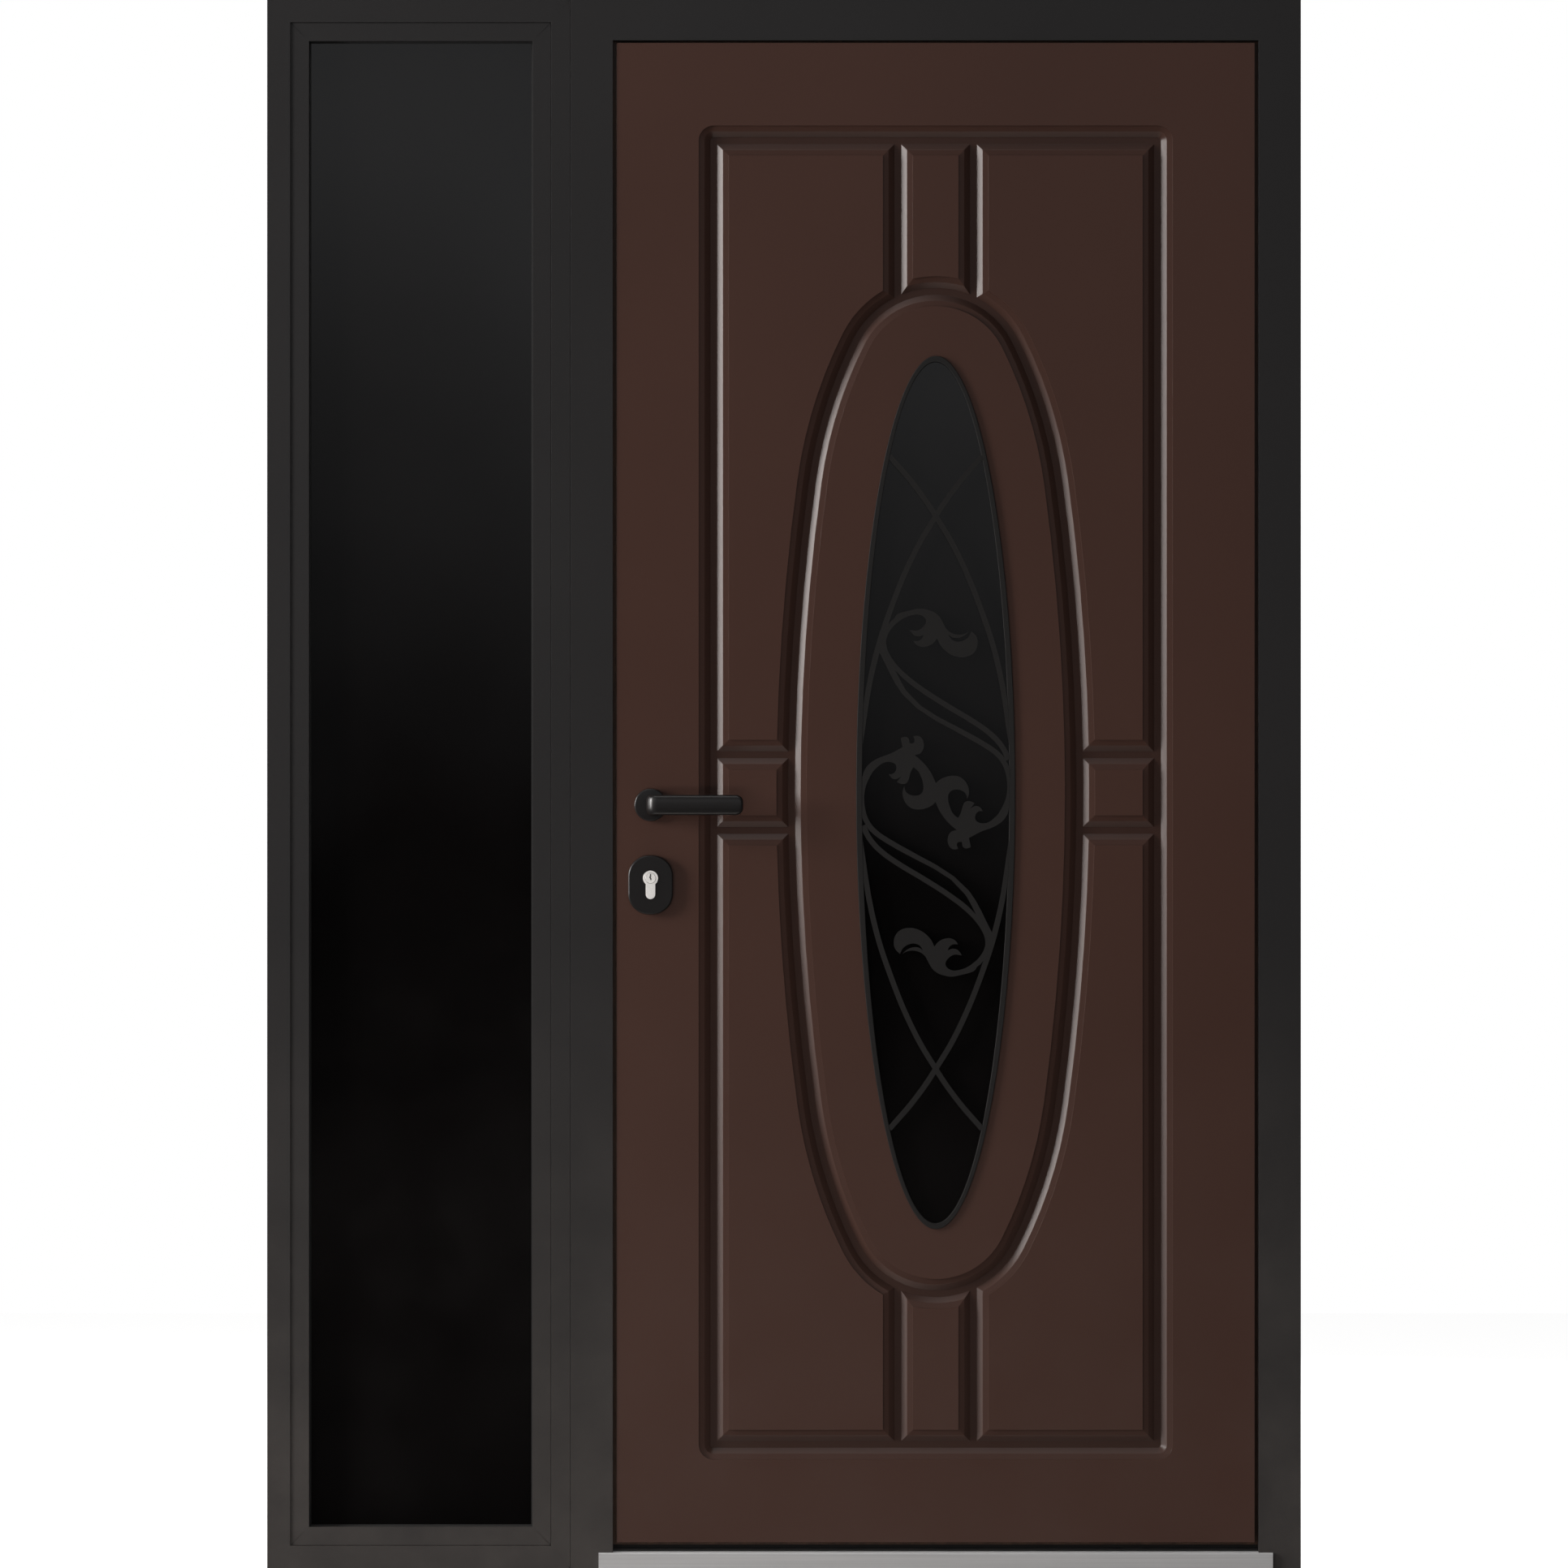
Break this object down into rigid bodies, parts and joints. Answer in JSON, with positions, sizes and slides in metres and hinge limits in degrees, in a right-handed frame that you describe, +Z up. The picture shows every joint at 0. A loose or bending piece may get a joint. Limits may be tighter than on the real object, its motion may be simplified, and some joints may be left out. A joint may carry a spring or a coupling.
{
  "type": "entrance door with sidelight",
  "caption": "Inward-opening entrance door leaf with routed oval relief, scrolled oval grille and glass, in a frame joined to a narrow glazed sidelight.",
  "frame": {"origin": "on the underside of the threshold, midway across the overall width and midway through the depth of the frame", "axes": "+X to the right seen from outside, +Y into the building, +Z up; the outside face is at -Y"},
  "size_m": [1.383, 0.166, 2.1],
  "materials": {
    "frame_coat": "matt powder coat",
    "leaf_coat": "satin powder coat",
    "grille_coat": "matt powder coat",
    "tinted_glass": "clear tinted",
    "spacer_metal": "mill finish",
    "seal_rubber": "matt",
    "fitting_coat": "satin",
    "stile_wood": "planed",
    "sill_metal": "anodised, satin",
    "strip_plastic": "matt",
    "core_foam": "rigid foam",
    "lock_steel": "brushed",
    "bolt_steel": "machined",
    "cylinder_metal": "satin nickel plate"
  },
  "bodies": {
    "frame": {"jamb_left": "frame_coat", "jamb_right": "frame_coat", "head": "frame_coat", "threshold": "sill_metal", "threshold_strip": "strip_plastic", "frame_seal": "seal_rubber", "strike_plate": "lock_steel", "sidelight_stile_left": "frame_coat", "sidelight_stile_right": "frame_coat", "sidelight_rail_top": "frame_coat", "sidelight_rail_bottom": "frame_coat", "sidelight_bead_left": "frame_coat", "sidelight_bead_right": "frame_coat", "sidelight_bead_top": "frame_coat", "sidelight_bead_bottom": "frame_coat", "sidelight_pane_outer": "tinted_glass", "sidelight_pane_inner": "tinted_glass", "sidelight_spacer": "spacer_metal", "sidelight_seals": "seal_rubber", "sidelight_glass_blocks": "strip_plastic", "hinge_frame_halves": "fitting_coat", "hinge_pins": "bolt_steel"},
    "leaf": {"outer_panel": "leaf_coat", "inner_panel": "leaf_coat", "lock_stile": "stile_wood", "hinge_stile": "stile_wood", "top_rail": "stile_wood", "bottom_rail": "stile_wood", "core": "core_foam", "bottom_seal": "seal_rubber", "door_pane_outer": "tinted_glass", "door_pane_inner": "tinted_glass", "door_spacer": "spacer_metal", "inner_trim_ring": "grille_coat", "grille_ring": "grille_coat", "grille_scrolls": "grille_coat", "lock_case": "lock_steel", "faceplate": "lock_steel", "latch_and_bolt": "bolt_steel", "lever_roses": "fitting_coat", "escutcheons": "fitting_coat", "lock_cylinder": "cylinder_metal", "hinge_leaf_halves": "fitting_coat"},
    "handle": {"lever_outer": "fitting_coat", "lever_inner": "fitting_coat", "spindle": "bolt_steel"},
    "key_plug": {"key_plug": "cylinder_metal"}
  },
  "joints": [
    {"name": "leaf_hinge", "type": "hinge", "parent": "frame", "child": "leaf", "pos_m": [0.6515, 0.0495, 1.05], "axis": [0, 0, -1], "range_deg": [0, 95]},
    {"name": "lever_turn", "type": "hinge", "parent": "leaf", "child": "handle", "pos_m": [-0.1785, 0, 1.022], "axis": [0, 1, 0], "range_deg": [0, 40], "stiffness_Nm_per_rad": 1.5, "springref_deg": -22.92},
    {"name": "key_turn", "type": "hinge", "parent": "leaf", "child": "key_plug", "pos_m": [-0.1785, -0.04, 0.924], "axis": [0, 1, 0], "continuous": true}
  ]
}
